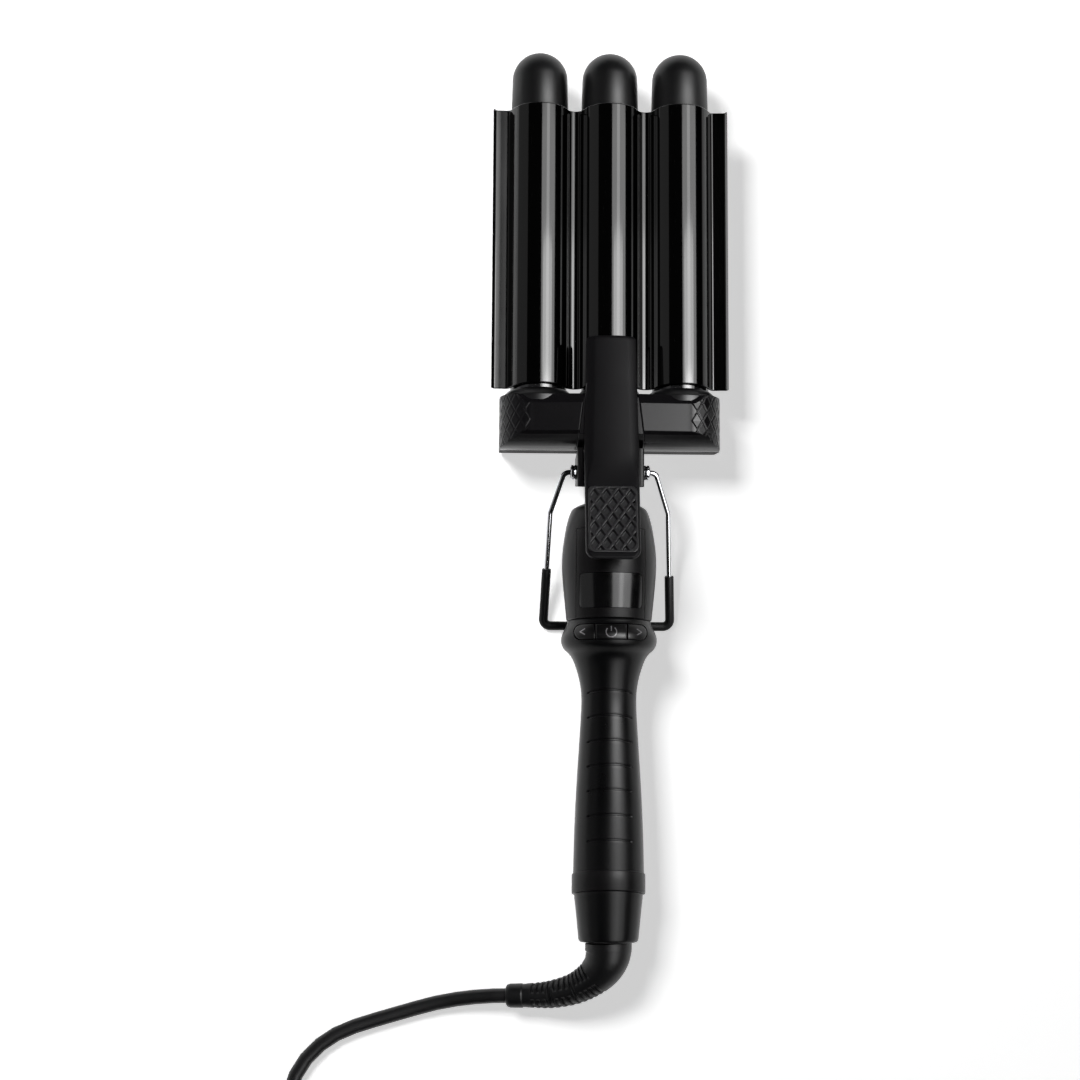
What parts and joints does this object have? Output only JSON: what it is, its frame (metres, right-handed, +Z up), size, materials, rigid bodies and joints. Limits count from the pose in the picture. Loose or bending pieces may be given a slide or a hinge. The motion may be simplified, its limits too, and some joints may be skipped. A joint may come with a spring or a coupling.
{
  "type": "hair waver",
  "caption": "Mains hair waver: heated barrels in a crossbar, a corrugated clamp plate on a sprung thumb lever, a turned handle with display and buttons, a wire stand and a swivel cord.",
  "frame": {"origin": "on the table, under the middle of the body without its cord", "axes": "+Y along the handle towards the barrel tips, +X to the right seen from above, +Z up from the crossbar's back face through its front face"},
  "size_m": [0.2042, 0.5702, 0.062],
  "materials": {
    "barrel_coating": "satin black ceramic coating on drawn aluminium",
    "plate_coating": "glossy black baked coating on pressed aluminium",
    "cap_plastic": "matt black heat-proof moulding",
    "collar_plastic": "black heat-proof moulding",
    "heater_aluminium": "mill finish",
    "body_plastic": "fine satin black moulding",
    "grip_plastic": "soft-touch black coating",
    "button_plastic": "satin black moulding with pale symbols",
    "window_plastic": "smoked clear moulding, polished",
    "lcd_face": "dark display face",
    "circuit_board": "green solder mask",
    "brush_resin": "brown phenolic moulding",
    "pad_rubber": "soft black rubber with raised ribs",
    "sleeve_rubber": "black silicone tube",
    "boot_rubber": "soft black moulding",
    "cord_sheath": "black PVC sheath, satin",
    "plug_plastic": "black moulded PVC",
    "tie_fabric": "black hook and loop tape",
    "chrome": "bright plated",
    "steel": "zinc plated",
    "brass": "turned"
  },
  "bodies": {
    "root": {"barrel_left": "barrel_coating", "barrel_centre": "barrel_coating", "barrel_right": "barrel_coating", "tip_cap_left": "cap_plastic", "tip_cap_centre": "cap_plastic", "tip_cap_right": "cap_plastic", "heater_left": "heater_aluminium", "heater_centre": "heater_aluminium", "heater_right": "heater_aluminium", "collar_left": "collar_plastic", "collar_centre": "collar_plastic", "collar_right": "collar_plastic", "crossbar_front": "body_plastic", "crossbar_back": "body_plastic", "crossbar_screws": "steel", "neck_block": "body_plastic", "hinge_tube": "steel", "hinge_ferrules": "chrome", "torsion_spring": "steel", "upper_housing": "body_plastic", "display_cover": "body_plastic", "display_window": "window_plastic", "lcd_module": "lcd_face", "control_board": "circuit_board", "button_board": "circuit_board", "grip": "grip_plastic", "band_ring": "body_plastic", "end_cap": "grip_plastic", "brush_block": "brush_resin"},
    "clamp": {"clamp_plate": "plate_coating", "plate_rivets": "steel", "lever_arm": "body_plastic", "thumb_pad": "pad_rubber"},
    "stand": {"stand_wire": "chrome", "stand_sleeve": "sleeve_rubber"},
    "power": {"button_power": "button_plastic"},
    "cooler": {"button_cooler": "button_plastic"},
    "hotter": {"button_hotter": "button_plastic"},
    "swivel": {"swivel_spindle": "body_plastic", "slip_ring": "brass", "cord_boot": "boot_rubber", "cord": "cord_sheath", "cord_coil": "cord_sheath", "cord_tail": "cord_sheath", "cord_tie": "tie_fabric", "plug_body": "plug_plastic", "plug_pins": "chrome"}
  },
  "joints": [
    {"name": "clamp_hinge", "type": "hinge", "parent": "root", "child": "clamp", "pos_m": [0, 0.0048, 0.031], "axis": [1, 0, 0], "range_deg": [0, 15], "stiffness_Nm_per_rad": 1.2, "springref_deg": -20.05},
    {"name": "stand_hinge", "type": "hinge", "parent": "root", "child": "stand", "pos_m": [0, 0.0048, 0.031], "axis": [1, 0, 0], "range_deg": [0, 75]},
    {"name": "power_press", "type": "slide", "parent": "root", "child": "power", "axis": [0, 0, -1], "range_m": [0, 0.0008], "stiffness_N_per_m": 400, "springref_m": -0.0015},
    {"name": "cooler_press", "type": "slide", "parent": "root", "child": "cooler", "axis": [0, 0, -1], "range_m": [0, 0.0008], "stiffness_N_per_m": 400, "springref_m": -0.0015},
    {"name": "hotter_press", "type": "slide", "parent": "root", "child": "hotter", "axis": [0, 0, -1], "range_m": [0, 0.0008], "stiffness_N_per_m": 400, "springref_m": -0.0015},
    {"name": "cord_swivel", "type": "hinge", "parent": "root", "child": "swivel", "pos_m": [0, -0.2005, 0.023], "axis": [0, 1, 0], "continuous": true}
  ]
}
